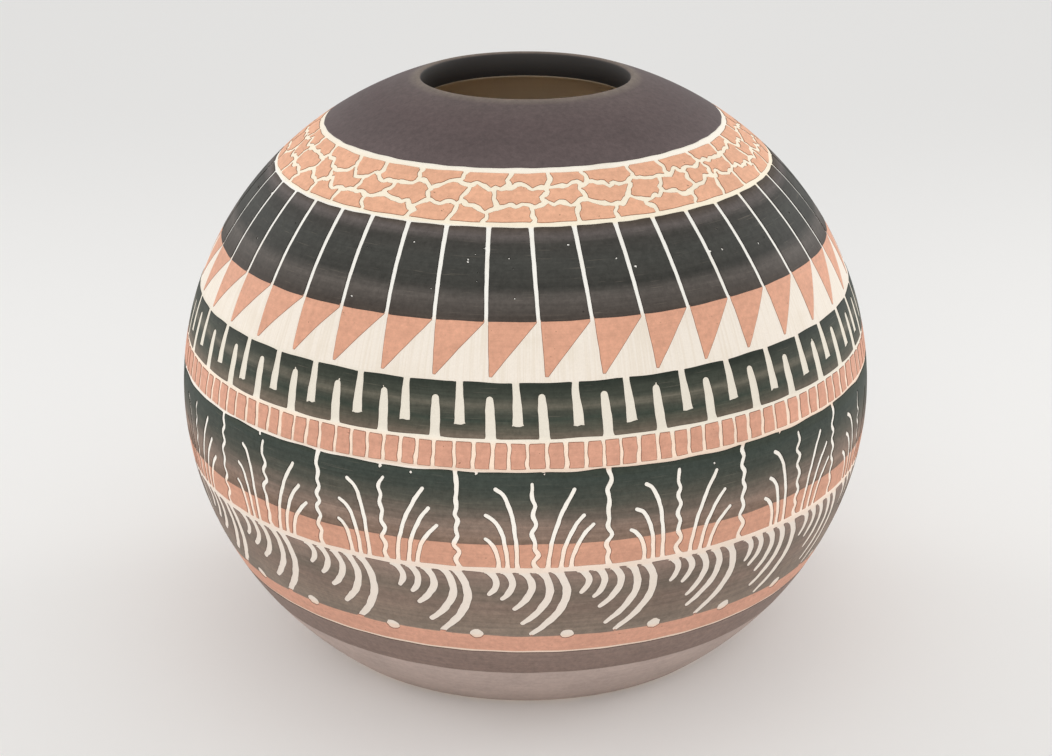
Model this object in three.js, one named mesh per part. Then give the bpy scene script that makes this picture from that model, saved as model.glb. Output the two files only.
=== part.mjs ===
// Round clay pot whose coats of coloured slip are cut back to the pale clay in bands.
// Millimetres, +Z up. The origin is the middle of the foot, on the surface that the pot stands on.
// Angles run round the pot from the front, at -Y, towards +X.

import * as THREE from "three";

// Sizes of the pot, over the finished surface
const potHeight = 146.2;
const bellyRadius = 89;
const bellyHeight = 65.1;
const footRadius = 56.3;
const mouthRadius = 26.2;
const lipRounding = 0.8;
const footRounding = 1.2;

// How full the two halves are: 2 is an ellipse, and more is squarer
const domeFullness = 2;
const bowlFullness = 1.96;

// Thickness of the clay under the coats
const wallThickness = 5.8;
const baseThickness = 7;

// Coats of slip, and the clearances that keep the solids apart
const coatThickness = 0.4;
const lineFilm = 0.1;
const seatGap = 0.2;
const paintGap = 0.2;
const mouthCoatGap = 0.3;

// Widths over the surface, from the foot up. They share out the outline between the bare foot and
// the lip, so they all stretch a little with the outline.
const bareFootWidth = 2;
const baseWashWidth = 22.5;
const footBandWidth = 9.5;
const lowRingWidth = 1.5;
const lowerStripeWidth = 5.5;
const featherWidth = 20.4;
const featherRingWidth = 1.3;
const upperStripeWidth = 5.8;
const grassWidth = 17.8;
const brickRingWidth = 1.2;
const brickWidth = 5.6;
const keyRingWidth = 0.8;
const keyWidth = 12.3;
const apexStripWidth = 2.2;
const triangleWidth = 11.3;
const panelWidth = 22.4;
const mosaicRingWidth = 1.1;
const mosaicWidth = 13.9;
const shoulderRingWidth = 1.4;
const shoulderWidth = 25.2;

// Panels between radial lines, with a triangle under each
const panelCount = 41;
const panelLineWidth = 1;
const panelStartAngle = THREE.MathUtils.degToRad(2);
const apexWidth = 0.5;
const sawBackWidth = 0.6;

// Key band: cut fingers hang from its top edge and rise from its bottom edge by turns
const keyCount = 44;
const fingerWidth = 2;
const slipUnderFingers = 2.1;
const slipOverFingers = 2.4;
const keyStartAngle = THREE.MathUtils.degToRad(-1.5);

// Row of bricks
const brickCount = 132;
const brickJointWidth = 0.7;
const brickStartAngle = THREE.MathUtils.degToRad(0.5);

// Fineness of the facets
const roundFacets = 48;
const coatRowLength = 8;
const clayRowLength = 12;
const lipSteps = 3;
const footSteps = 2;
const outlineSteps = 2000;

const seatInset = coatThickness + seatGap;
const fullTurn = 2 * Math.PI;
const quarterTurn = Math.PI / 2;

// The finished outline: one superellipse below the belly and one above it

function riseShare(radiusShare, fullness) {
  return (1 - radiusShare ** fullness) ** (1 / fullness);
}

const lipRadius = mouthRadius + lipRounding;
const domeReach = (potHeight - bellyHeight) / riseShare(lipRadius / bellyRadius, domeFullness);
const bowlReach = bellyHeight / riseShare(footRadius / bellyRadius, bowlFullness);

function radiusAtHeight(height) {
  const aboveBelly = height > bellyHeight;
  const reach = aboveBelly ? domeReach : bowlReach;
  const fullness = aboveBelly ? domeFullness : bowlFullness;
  return bellyRadius * riseShare(Math.abs(height - bellyHeight) / reach, fullness);
}

function traceOutline() {
  const points = [{ height: 0, along: 0 }];
  for (let step = 1; step <= outlineSteps; step += 1) {
    const before = points[step - 1];
    const height = (potHeight * step) / outlineSteps;
    const run = radiusAtHeight(height) - radiusAtHeight(before.height);
    points.push({ height, along: before.along + Math.hypot(run, height - before.height) });
  }
  return points;
}

const outline = traceOutline();

function heightAlong(along) {
  const next = outline.find((point) => point.along >= along) ?? outline.at(-1);
  const before = outline[Math.max(outline.indexOf(next) - 1, 0)];
  const share = (along - before.along) / (next.along - before.along || 1);
  return THREE.MathUtils.lerp(before.height, next.height, share);
}

// Unit vector out of the surface, as radius and height
function outwardAt(height) {
  const reach = potHeight / outlineSteps;
  const slope = (radiusAtHeight(height) - radiusAtHeight(height - reach)) / reach;
  return new THREE.Vector2(1, -slope).normalize();
}

// Point at a distance along the surface from the foot, moved into the wall by an inset
function surfacePoint(along, inset) {
  const height = heightAlong(along);
  const outward = outwardAt(height);
  return new THREE.Vector2(radiusAtHeight(height), height).addScaledVector(outward, -inset);
}

function surfaceRun(from, to, inset, rowLength) {
  const rows = Math.ceil(Math.abs(to - from) / rowLength);
  const points = [];
  for (let row = 0; row <= rows; row += 1) {
    points.push(surfacePoint(THREE.MathUtils.lerp(from, to, row / rows), inset));
  }
  return points;
}

// Distance along the surface at which a rising measure reaches zero
function alongWhere(measure) {
  let low = 0;
  let high = outline.at(-1).along;
  while (high - low > 1e-6) {
    const middle = (low + high) / 2;
    if (measure(middle) < 0) {
      low = middle;
    } else {
      high = middle;
    }
  }
  return low;
}

// The rounded lip is an arc that leaves the dome and turns down into the mouth
const lipStart = alongWhere((along) => lipRadius - surfacePoint(along, lipRounding).x);
const lipCentre = surfacePoint(lipStart, lipRounding);
const lipStartAngle = outwardAt(heightAlong(lipStart)).angle();

function lipArc(inset) {
  const points = [];
  for (let step = 1; step <= lipSteps; step += 1) {
    const angle = THREE.MathUtils.lerp(lipStartAngle, Math.PI, step / lipSteps);
    const spoke = new THREE.Vector2(Math.cos(angle), Math.sin(angle));
    points.push(lipCentre.clone().addScaledVector(spoke, lipRounding - inset));
  }
  return points;
}

// The bands in their order from the foot up. Those with no name are the cut rings and the gaps.
const bandOrder = [
  { name: "baseWash", width: baseWashWidth },
  { width: paintGap },
  { name: "footBand", width: footBandWidth },
  { width: lowRingWidth },
  { name: "lowerStripe", width: lowerStripeWidth },
  { width: paintGap },
  { name: "feather", width: featherWidth },
  { width: featherRingWidth },
  { name: "upperStripe", width: upperStripeWidth },
  { width: paintGap },
  { name: "grass", width: grassWidth },
  { width: brickRingWidth },
  { name: "brick", width: brickWidth },
  { width: keyRingWidth },
  { name: "key", width: keyWidth },
  { width: apexStripWidth },
  { name: "triangle", width: triangleWidth },
  { width: paintGap },
  { name: "panel", width: panelWidth },
  { width: mosaicRingWidth },
  { name: "mosaic", width: mosaicWidth },
  { width: shoulderRingWidth },
  { name: "shoulder", width: shoulderWidth },
];

// Each band's low and top edge, as distances along the surface from the foot
function layOutBands() {
  const bandRoom = lipStart - bareFootWidth;
  const stretch = bandRoom / bandOrder.reduce((total, { width }) => total + width, 0);
  const edges = {};
  let low = bareFootWidth;
  for (const { name, width } of bandOrder) {
    const top = low + width * stretch;
    if (name) edges[name] = { low, top };
    low = top;
  }
  return edges;
}

const bands = layOutBands();

// Turned solids

function turned(profile) {
  return new THREE.LatheGeometry(profile, roundFacets).rotateX(quarterTurn);
}

// Where the inside of the wall meets the mouth and the flat inside floor
const insideInset = seatInset + wallThickness;
const clayMouthRadius = mouthRadius + seatInset;
const insideTop = alongWhere((along) => clayMouthRadius - surfacePoint(along, insideInset).x);
const insideLow = alongWhere((along) => surfacePoint(along, insideInset).y - baseThickness);

function clayBody() {
  const footEdge = surfacePoint(bareFootWidth, seatInset);
  const footCorner = new THREE.Vector2(footRadius - seatInset, 0);
  const footFlat = new THREE.Vector2(footCorner.x - footRounding, 0);
  const footCurve = new THREE.QuadraticBezierCurve(footFlat, footCorner, footEdge);
  const profile = [
    new THREE.Vector2(0, 0),
    ...footCurve.getPoints(footSteps),
    ...surfaceRun(bareFootWidth, lipStart, seatInset, clayRowLength).slice(1),
    ...lipArc(seatInset),
    ...surfaceRun(insideTop, insideLow, insideInset, clayRowLength),
    new THREE.Vector2(0, baseThickness),
  ];
  return turned(profile);
}

// The top coat runs over the lip and down the cut wall of the mouth
function shoulderCoat() {
  const mouthCoatLow = surfacePoint(insideTop, insideInset).y + mouthCoatGap;
  const [outside, underside] = [0, coatThickness].map((inset) => [
    ...surfaceRun(bands.shoulder.low, lipStart, inset, coatRowLength),
    ...lipArc(inset),
  ]);
  const profile = [
    ...outside,
    new THREE.Vector2(mouthRadius, mouthCoatLow),
    new THREE.Vector2(mouthRadius + coatThickness, mouthCoatLow),
    ...underside.reverse(),
    outside[0],
  ];
  return turned(profile);
}

// A coat laid over the surface as a closed ring of cells. columnAngle gives the angle of a grid
// line, which may depend on the row, rowEdges and layerEdges hold the grid's distances along the
// surface and its insets, and covered says which cells are slip.
function ringCoat({ columns, rowEdges, layerEdges, columnAngle, covered = () => true }) {
  const rows = rowEdges.length - 1;
  const layers = layerEdges.length - 1;
  const positions = [];
  for (const inset of layerEdges) {
    rowEdges.forEach((along, row) => {
      const point = surfacePoint(along, inset);
      for (let column = 0; column < columns; column += 1) {
        const angle = columnAngle(column, row);
        positions.push(point.x * Math.sin(angle), -point.x * Math.cos(angle), point.y);
      }
    });
  }

  const vertex = (column, row, layer) => (layer * (rows + 1) + row) * columns + (column % columns);
  const filled = (column, row, layer) => {
    if (row < 0 || row >= rows || layer < 0 || layer >= layers) return false;
    return covered((column + columns) % columns, row, layer);
  };

  // Each side of a cell: the step to its neighbour, and its corners as seen from outside
  const sides = [
    { step: [0, 0, -1], corners: [[0, 0, 0], [1, 0, 0], [1, 1, 0], [0, 1, 0]] },
    { step: [0, 0, 1], corners: [[0, 0, 1], [0, 1, 1], [1, 1, 1], [1, 0, 1]] },
    { step: [-1, 0, 0], corners: [[0, 0, 1], [0, 0, 0], [0, 1, 0], [0, 1, 1]] },
    { step: [1, 0, 0], corners: [[1, 0, 0], [1, 0, 1], [1, 1, 1], [1, 1, 0]] },
    { step: [0, -1, 0], corners: [[0, 0, 0], [0, 0, 1], [1, 0, 1], [1, 0, 0]] },
    { step: [0, 1, 0], corners: [[0, 1, 0], [1, 1, 0], [1, 1, 1], [0, 1, 1]] },
  ];
  const faces = [];
  for (let layer = 0; layer < layers; layer += 1) {
    for (let row = 0; row < rows; row += 1) {
      for (let column = 0; column < columns; column += 1) {
        if (!filled(column, row, layer)) continue;
        for (const { step, corners } of sides) {
          if (filled(column + step[0], row + step[1], layer + step[2])) continue;
          const [a, b, c, d] = corners.map((corner) =>
            vertex(column + corner[0], row + corner[1], layer + corner[2]),
          );
          faces.push(a, b, c, a, c, d);
        }
      }
    }
  }

  const geometry = new THREE.BufferGeometry();
  geometry.setAttribute("position", new THREE.Float32BufferAttribute(positions, 3));
  geometry.setIndex(faces);
  geometry.computeVertexNormals();
  return geometry;
}

function evenEdges(low, top, rows) {
  return Array.from({ length: rows + 1 }, (_, row) => THREE.MathUtils.lerp(low, top, row / rows));
}

// A whole band, all the way round
function bandCoat({ low, top }) {
  return ringCoat({
    columns: roundFacets,
    rowEdges: evenEdges(low, top, Math.ceil((top - low) / coatRowLength)),
    layerEdges: [0, coatThickness],
    columnAngle: (column) => (column * fullTurn) / roundFacets,
  });
}

// Half of a cut line's width, as an angle at a distance along the surface
function halfLineAngle(lineWidth, along) {
  return lineWidth / 2 / surfacePoint(along, 0).x;
}

// A band cut by upright lines into equal pieces. The film of slip that is left at the bottom of
// each line holds the pieces together.
function linedCoat({ band, count, startAngle, lineWidth, pieceColumns, rows }) {
  const pitch = fullTurn / count;
  const pitchColumns = pieceColumns + 1;
  const rowEdges = evenEdges(band.low, band.top, rows);
  return ringCoat({
    columns: count * pitchColumns,
    rowEdges,
    layerEdges: [0, coatThickness - lineFilm, coatThickness],
    columnAngle: (column, row) => {
      const halfLine = halfLineAngle(lineWidth, rowEdges[row]);
      const share = (column % pitchColumns) / pieceColumns;
      const start = startAngle + Math.floor(column / pitchColumns) * pitch;
      return start + THREE.MathUtils.lerp(halfLine, pitch - halfLine, share);
    },
    covered: (column, row, layer) => layer > 0 || column % pitchColumns < pieceColumns,
  });
}

function panelCoat() {
  return linedCoat({
    band: bands.panel,
    count: panelCount,
    startAngle: panelStartAngle,
    lineWidth: panelLineWidth,
    pieceColumns: 2,
    rows: 3,
  });
}

function brickCoat() {
  return linedCoat({
    band: bands.brick,
    count: brickCount,
    startAngle: brickStartAngle,
    lineWidth: brickJointWidth,
    pieceColumns: 1,
    rows: 1,
  });
}

// A saw of right triangles, with each apex below the left end of its long side. The narrow back of
// the saw runs along the panels.
function triangleCoat() {
  const pitch = fullTurn / panelCount;
  const toothColumns = 2;
  const pitchColumns = toothColumns + 1;
  const { low, top } = bands.triangle;
  const backLow = top - sawBackWidth;
  const rowEdges = [low, (low + backLow) / 2, backLow, top];
  const backRow = rowEdges.length - 2;
  const toothAngle = (along) => {
    const height = Math.min((along - low) / (backLow - low), 1);
    const apexAngle = apexWidth / surfacePoint(along, 0).x;
    const topAngle = pitch - 2 * halfLineAngle(panelLineWidth, along);
    return THREE.MathUtils.lerp(apexAngle, topAngle, height);
  };
  return ringCoat({
    columns: panelCount * pitchColumns,
    rowEdges,
    layerEdges: [0, coatThickness],
    columnAngle: (column, row) => {
      const along = rowEdges[row];
      const start = panelStartAngle + Math.floor(column / pitchColumns) * pitch;
      const share = (column % pitchColumns) / toothColumns;
      return start + halfLineAngle(panelLineWidth, along) + toothAngle(along) * share;
    },
    covered: (column, row) => row === backRow || column % pitchColumns < toothColumns,
  });
}

// The key band is one winding strip. Each pitch has four columns: a hanging finger, slip, a rising
// finger, slip.
function keyCoat() {
  const pitch = fullTurn / keyCount;
  const { low, top } = bands.key;
  const halfFinger = halfLineAngle(fingerWidth, (low + top) / 2);
  const columnStarts = [-halfFinger, halfFinger, pitch / 2 - halfFinger, pitch / 2 + halfFinger];
  const hangingColumn = 0;
  const risingColumn = 2;
  const rowEdges = [low, low + slipUnderFingers, top - slipOverFingers, top];
  const topRow = rowEdges.length - 2;
  return ringCoat({
    columns: keyCount * columnStarts.length,
    rowEdges,
    layerEdges: [0, coatThickness],
    columnAngle: (column) => {
      const start = keyStartAngle + Math.floor(column / columnStarts.length) * pitch;
      return start + columnStarts[column % columnStarts.length];
    },
    covered: (column, row) => {
      const part = column % columnStarts.length;
      if (part === hangingColumn) return row === 0;
      if (part === risingColumn) return row === topRow;
      return true;
    },
  });
}

// Finishes, with the colours that each coat has after firing

function finish(color, roughness) {
  return new THREE.MeshStandardMaterial({ color, roughness, metalness: 0 });
}

const creamClay = finish("#f0e6d4", 0.85);
const mauveSlip = finish("#615555", 0.7);
const salmonSlip = finish("#dea588", 0.75);
const blackSlip = finish("#43443f", 0.6);
const greenBlackSlip = finish("#3c3e39", 0.6);
const brownBlackSlip = finish("#4d5048", 0.6);
const greyBrownSlip = finish("#7d7065", 0.7);
const darkBrownSlip = finish("#806d66", 0.7);
const taupeWash = finish("#9d8f83", 0.8);

// The pot

const pot = new THREE.Group();

function addPiece(name, geometry, material) {
  const mesh = new THREE.Mesh(geometry, material);
  mesh.name = name;
  pot.add(mesh);
}

addPiece("clay_body", clayBody(), creamClay);
addPiece("shoulder_slip", shoulderCoat(), mauveSlip);
addPiece("mosaic_slip", bandCoat(bands.mosaic), salmonSlip.clone());
addPiece("panel_slip", panelCoat(), blackSlip);
addPiece("triangle_slip", triangleCoat(), salmonSlip.clone());
addPiece("key_slip", keyCoat(), greenBlackSlip);
addPiece("brick_slip", brickCoat(), salmonSlip.clone());
addPiece("grass_slip", bandCoat(bands.grass), brownBlackSlip);
addPiece("upper_stripe_slip", bandCoat(bands.upperStripe), salmonSlip.clone());
addPiece("feather_slip", bandCoat(bands.feather), greyBrownSlip);
addPiece("lower_stripe_slip", bandCoat(bands.lowerStripe), salmonSlip.clone());
addPiece("foot_band_slip", bandCoat(bands.footBand), darkBrownSlip);
addPiece("base_wash", bandCoat(bands.baseWash), taupeWash);

export default pot;
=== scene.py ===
# Looks of the clay pot: the fired clay and its coats of coloured slip, with the ornament cut through
# the slip. Sizes are in millimetres and are turned into metres where a mesh is made. Angles run round
# the pot from the front, at -Y, towards +X. "Along" is the distance up the surface from the foot.

import math
import random

import bpy
import numpy as np
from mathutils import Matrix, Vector
from mathutils.geometry import delaunay_2d_cdt


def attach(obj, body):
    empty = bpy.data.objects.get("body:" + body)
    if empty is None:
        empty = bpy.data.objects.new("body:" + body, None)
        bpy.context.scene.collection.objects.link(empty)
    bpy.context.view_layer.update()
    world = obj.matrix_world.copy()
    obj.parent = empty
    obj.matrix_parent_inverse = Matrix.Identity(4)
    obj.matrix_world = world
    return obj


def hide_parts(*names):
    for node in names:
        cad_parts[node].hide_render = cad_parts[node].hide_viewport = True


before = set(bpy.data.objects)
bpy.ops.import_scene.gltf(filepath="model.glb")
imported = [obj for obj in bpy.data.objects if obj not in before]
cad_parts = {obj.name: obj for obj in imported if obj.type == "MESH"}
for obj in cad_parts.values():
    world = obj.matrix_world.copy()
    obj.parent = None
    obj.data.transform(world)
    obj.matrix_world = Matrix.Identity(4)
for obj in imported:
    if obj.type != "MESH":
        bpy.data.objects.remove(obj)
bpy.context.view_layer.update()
scene = bpy.context.scene

MM = 0.001
FULL_TURN = 2 * math.pi

# Sizes of the pot, over the finished surface
POT_HEIGHT = 146.2
BELLY_RADIUS = 89
BELLY_HEIGHT = 65.1
FOOT_RADIUS = 56.3
MOUTH_RADIUS = 26.2
LIP_ROUNDING = 0.8
FOOT_ROUNDING = 1.2
DOME_FULLNESS = 2.0
BOWL_FULLNESS = 1.96
WALL_THICKNESS = 6
BASE_THICKNESS = 7

# Depths under the finished surface: the cut lines end on the clay, and the coats are sunk past it
CLAY_INSET = 0.16
COAT_DEPTH = 0.4
OVERLAP_INSET = 0.04
OVERLAP_WIDTH = 0.3

# The walls of the cuts slope, the wide ones more, and have a dark rim on top, painted shade along the
# edges of the cuts. The widths given for cuts leave out a margin at each side for it.
WALL_REACH = 0.42
WIDE_WALL_REACH = 0.7
SHADE_RIM_DEPTH = 0.17
CUT_MARGIN = 0.21
MOUTH_COAT_GAP = 0.3

# Low and top edges of the coats, along the surface
WASH_LOW, WASH_TOP = 1.0, 24.1
FOOT_BAND_TOP = 33.8
LOWER_STRIPE_LOW, LOWER_STRIPE_TOP = 34.8, 40.9
FEATHER_TOP = 61.3
UPPER_STRIPE_LOW, UPPER_STRIPE_TOP = 62.8, 69.0
GRASS_TOP = 86.35
BRICK_LOW, BRICK_TOP = 87.4, 93.1
KEY_LOW, KEY_TOP = 94.3, 106.5
TRIANGLE_LOW, TRIANGLE_TOP = 108.0, 120.3
PANEL_TOP = 142.8
MOSAIC_LOW, MOSAIC_TOP = 144.3, 157.8
SHOULDER_LOW = 159.5

# The upper bands were turned slightly askew and rise towards +X
ASKEW_RISE = 0.75
ASKEW_STARTS, ASKEW_FULL = 44, 66
ASKEW_FADES, ASKEW_ENDS = 160, 175

# Fineness of the meshes
EDGE_POINTS = 480
GRID_SPACING = 2.6
STROKE_SPACING = 0.55
CLAY_COLUMNS = 240
CLAY_ROW_LENGTH = 1.6
LIP_STEPS = 10
EDGE_ROW = 0.15
LINE_PIECE = 12
OUTLINE_STEPS = 4000
MERGE_DISTANCE = 1e-5
SEAM_TOLERANCE = 1e-3


# The outline: one superellipse below the belly and one above it

def rise_share(radius_share, fullness):
    return (1 - radius_share**fullness) ** (1 / fullness)


LIP_RADIUS = MOUTH_RADIUS + LIP_ROUNDING
DOME_REACH = (POT_HEIGHT - BELLY_HEIGHT) / rise_share(LIP_RADIUS / BELLY_RADIUS, DOME_FULLNESS)
BOWL_REACH = BELLY_HEIGHT / rise_share(FOOT_RADIUS / BELLY_RADIUS, BOWL_FULLNESS)


def radius_at(height):
    above = height > BELLY_HEIGHT
    reach = np.where(above, DOME_REACH, BOWL_REACH)
    fullness = np.where(above, DOME_FULLNESS, BOWL_FULLNESS)
    return BELLY_RADIUS * rise_share(np.abs(height - BELLY_HEIGHT) / reach, fullness)


heights = np.linspace(0, POT_HEIGHT, OUTLINE_STEPS)
radii = radius_at(heights)
slopes = np.gradient(radii, heights)
steps = np.hypot(np.diff(radii), np.diff(heights))
alongs = np.concatenate([[0], np.cumsum(steps)])


def height_of(along):
    return np.interp(along, alongs, heights)


def radius_of(along):
    return np.interp(along, alongs, radii)


def outward_of(along):
    """Unit vector out of the surface, as radius and height"""
    slope = np.interp(along, alongs, slopes)
    length = np.hypot(1, slope)
    return 1 / length, -slope / length


def surface(along, inset):
    """Radius and height of the surface moved into the wall by an inset"""
    out_radius, out_height = outward_of(along)
    return radius_of(along) - inset * out_radius, height_of(along) - inset * out_height


def along_where(measure):
    """Distance along the surface at which a rising measure reaches zero"""
    return float(np.interp(0, measure, alongs))


LIP_START = along_where(LIP_RADIUS - surface(alongs, LIP_ROUNDING)[0])
LIP_CENTRE = [float(part) for part in surface(LIP_START, LIP_ROUNDING)]
LIP_START_ANGLE = math.atan2(*reversed([float(part) for part in outward_of(LIP_START)]))
INSIDE_INSET = COAT_DEPTH + WALL_THICKNESS
INSIDE_TOP = along_where(MOUTH_RADIUS + COAT_DEPTH - surface(alongs, INSIDE_INSET)[0])
INSIDE_LOW = along_where(surface(alongs, INSIDE_INSET)[1] - BASE_THICKNESS)


def smooth_step(value, start, end):
    share = np.clip((value - start) / (end - start), 0, 1)
    return share * share * (3 - 2 * share)


def askew(angle, along):
    """Where a point of the level layout lies on the pot, whose upper bands are a little askew"""
    rise = smooth_step(along, ASKEW_STARTS, ASKEW_FULL) * (1 - smooth_step(along, ASKEW_FADES, ASKEW_ENDS))
    return along + ASKEW_RISE * rise * np.sin(angle)


def turned_round(angle, radius, height):
    return np.stack([radius * np.sin(angle), -radius * np.cos(angle), height + 0 * angle], axis=-1)


def on_pot(angle, along, inset):
    radius, height = surface(askew(angle, along), inset)
    return turned_round(angle, radius, height) * MM


def outward_on_pot(angle, along):
    out_radius, out_height = outward_of(askew(angle, along))
    return turned_round(angle, out_radius, out_height)


# Hand work: wobbling edges and cut strokes

EDGE_WAVES = (7, 16, 29, 47)
WAVE_SIZES = (0.3, 0.7)
TREMBLE_PARTS = (1, 1.9, 3.3)
SHAKE_LENGTH = 7
UNEVEN_LENGTH = 5
FLARE_LENGTH = 0.5

# Points of a round end, in degrees, and of a ragged end, as shares of half its width
ROUND_END = (-60, -30, 0, 30, 60)
RAGGED_END = (-0.8, -0.3, 0.3, 0.8)


def wavy_edge(seed, along, size=0.1):
    """A band edge as a function of the angle, with a wobble that closes on itself"""
    draw = random.Random(seed)
    parts = []
    for count in EDGE_WAVES:
        parts.append((count, draw.uniform(0, FULL_TURN), size * draw.uniform(*WAVE_SIZES)))

    def edge(angle):
        return along + sum(part * np.sin(count * angle + phase) for count, phase, part in parts)

    return edge


def tremble(draw, distance, size, length):
    """Unsteadiness of a hand over a distance"""
    total = np.zeros_like(distance)
    for part in TREMBLE_PARTS:
        phase = draw.uniform(0, FULL_TURN)
        total += size / part * np.sin(FULL_TURN * distance * part / length + phase)
    return total


def even_path(points, smooth):
    """Even steps along a line through a few points, either smooth or with its corners"""
    points = np.asarray(points, float)
    chord = np.concatenate([[0], np.cumsum(np.hypot(*np.diff(points, axis=0).T))])
    count = max(int(round(chord[-1] / STROKE_SPACING)), 2)
    at = np.linspace(0, chord[-1], count + 1)
    if not smooth:
        return np.column_stack([np.interp(at, chord, part) for part in points.T])
    slope = np.gradient(points, chord, axis=0)
    piece = np.clip(np.searchsorted(chord, at, side="right") - 1, 0, len(chord) - 2)
    span = (chord[piece + 1] - chord[piece])[:, None]
    share = (at - chord[piece])[:, None] / span
    leave = share * (1 - share) ** 2 * span * slope[piece]
    arrive = share**2 * (1 - share) * span * slope[piece + 1]
    blend = share**2 * (3 - 2 * share)
    return (1 - blend) * points[piece] + leave + blend * points[piece + 1] - arrive


def round_cap(centre, ahead, side, reach):
    """Points of a stroke's round end, from right to left"""
    points = []
    for turn in ROUND_END:
        out = math.cos(math.radians(turn)) * ahead + math.sin(math.radians(turn)) * side
        points.append(centre + reach * out)
    return points


def ribbon(draw, points, widths, flare=0, round_start=False, round_end=False, ragged=0, shake=0.05,
           uneven=0.05, smooth=True):
    """Outline of a cut stroke, as angles and alongs. Points are degrees and along, and widths are spread
    evenly over the stroke. Flare widens the start, where the stroke runs into a ring, and a ragged end
    is uneven by so much."""
    points = np.asarray(points, float)
    scale = float(radius_of(points[:, 1].mean()))
    line = even_path(np.column_stack([np.radians(points[:, 0]) * scale, points[:, 1]]), smooth)
    distance = np.concatenate([[0], np.cumsum(np.hypot(*np.diff(line, axis=0).T))])
    direction = np.gradient(line, axis=0)
    direction /= np.hypot(*direction.T)[:, None]
    side = np.column_stack([-direction[:, 1], direction[:, 0]])
    share = distance / distance[-1]
    half = np.interp(share, np.linspace(0, 1, len(widths)), widths) / 2
    half *= 1 + tremble(draw, distance, uneven, UNEVEN_LENGTH)
    half += flare / 2 * np.exp(-distance / FLARE_LENGTH) + CUT_MARGIN
    line = line + side * tremble(draw, distance, shake, SHAKE_LENGTH)[:, None]
    right = line - side * half[:, None]
    left = line + side * half[:, None]
    outline = [*right]
    if round_end:
        outline += round_cap(line[-1], direction[-1], side[-1], half[-1])
    if ragged:
        for across in RAGGED_END:
            ahead = direction[-1] * draw.uniform(-ragged, ragged)
            outline.append(line[-1] + side[-1] * half[-1] * across + ahead)
    outline.extend(left[::-1])
    if round_start:
        outline += round_cap(line[0], -direction[0], -side[0], half[0])
    return np.array(outline) / (scale, 1)


def blob(draw, angle, along, radius, uneven=0.1, corners=14):
    """Outline of a small round cut"""
    scale = float(radius_of(along))
    outline = []
    for corner in range(corners):
        turn = FULL_TURN * corner / corners
        reach = radius * (1 + draw.uniform(-uneven, uneven)) + CUT_MARGIN
        place = math.radians(angle) + reach * math.cos(turn) / scale
        outline.append((place, along + reach * math.sin(turn)))
    return np.array(outline)


def bow(start, handle, end, count=7):
    """Points of a quadratic curve"""
    start, handle, end = (np.array(point, float) for point in (start, handle, end))
    shares = np.linspace(0, 1, count)[:, None]
    return (1 - shares) ** 2 * start + 2 * shares * (1 - shares) * handle + shares**2 * end


def astray(draw, angle, along, spreads):
    """A point that the hand misses by some degrees and millimetres"""
    return angle + draw.gauss(0, spreads[0]), along + draw.gauss(0, spreads[1])


def drifted(angle, size, centre, reach):
    """The angle moved on by the size at the centre, and less and less out to the reach, in degrees"""
    away = (angle - centre + 180) % 360 - 180
    return angle + size * (0.5 * (1 + math.cos(math.pi * min(abs(away) / reach, 1))))


# Meshes

def add_object(name, data):
    thing = bpy.data.objects.new(name, data)
    scene.collection.objects.link(thing)
    return thing


def add_mesh(name, points, faces, share_name, shares):
    """An object with a smooth mesh, which keeps a share for each point"""
    mesh = bpy.data.meshes.new(name)
    mesh.from_pydata(points.tolist(), [], faces)
    mesh.polygons.foreach_set("use_smooth", [True] * len(mesh.polygons))
    mesh.attributes.new(share_name, "FLOAT", "POINT").data.foreach_set("value", shares)
    return add_object(name, mesh)


def wrapped(cut, reach):
    """The cut, and its copies a turn away where they reach into the sheet"""
    for turn in (-FULL_TURN, 0, FULL_TURN):
        moved = cut + (turn, 0)
        if moved[:, 0].max() > -reach and moved[:, 0].min() < reach:
            yield moved


def cut_sheet(low_edge, top_edge, cuts):
    """Triangles that fill a band all round the pot except for its cuts, as angles, alongs and corners"""
    scale = float(radius_of(low_edge(0.0) / 2 + top_edge(0.0) / 2))
    rows = max(int(round((top_edge(0.0) - low_edge(0.0)) / GRID_SPACING)), 1)
    turns = np.linspace(-math.pi, math.pi, EDGE_POINTS + 1)
    side_shares = np.arange(1, rows) / rows

    def at_share(angle, share):
        return low_edge(angle) * (1 - share) + top_edge(angle) * share

    outline = [(turn, low_edge(turn)) for turn in turns]
    outline += [(math.pi, at_share(math.pi, share)) for share in side_shares]
    outline += [(turn, top_edge(turn)) for turn in turns[::-1]]
    outline += [(-math.pi, at_share(math.pi, share)) for share in side_shares[::-1]]
    points = []
    faces = []
    for polygon in [np.array(outline), *(moved for cut in cuts for moved in wrapped(cut, math.pi))]:
        faces.append(list(range(len(points), len(points) + len(polygon))))
        points.extend(polygon)
    columns = int(round(FULL_TURN * scale / GRID_SPACING))
    for share in side_shares:
        for column in range(1, columns):
            turn = -math.pi + FULL_TURN * column / columns
            points.append((turn, at_share(turn, share)))
    flat = [Vector((turn * scale, along)) for turn, along in points]
    inside_only = 1
    found, _, triangles, _, _, sources = delaunay_2d_cdt(flat, [], faces, inside_only, MERGE_DISTANCE, True)
    places = np.array([(point.x / scale, point.y) for point in found])
    corners = np.array([face for face, source in zip(triangles, sources) if list(source) == [0]])
    return weld_seam(places, corners)


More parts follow.
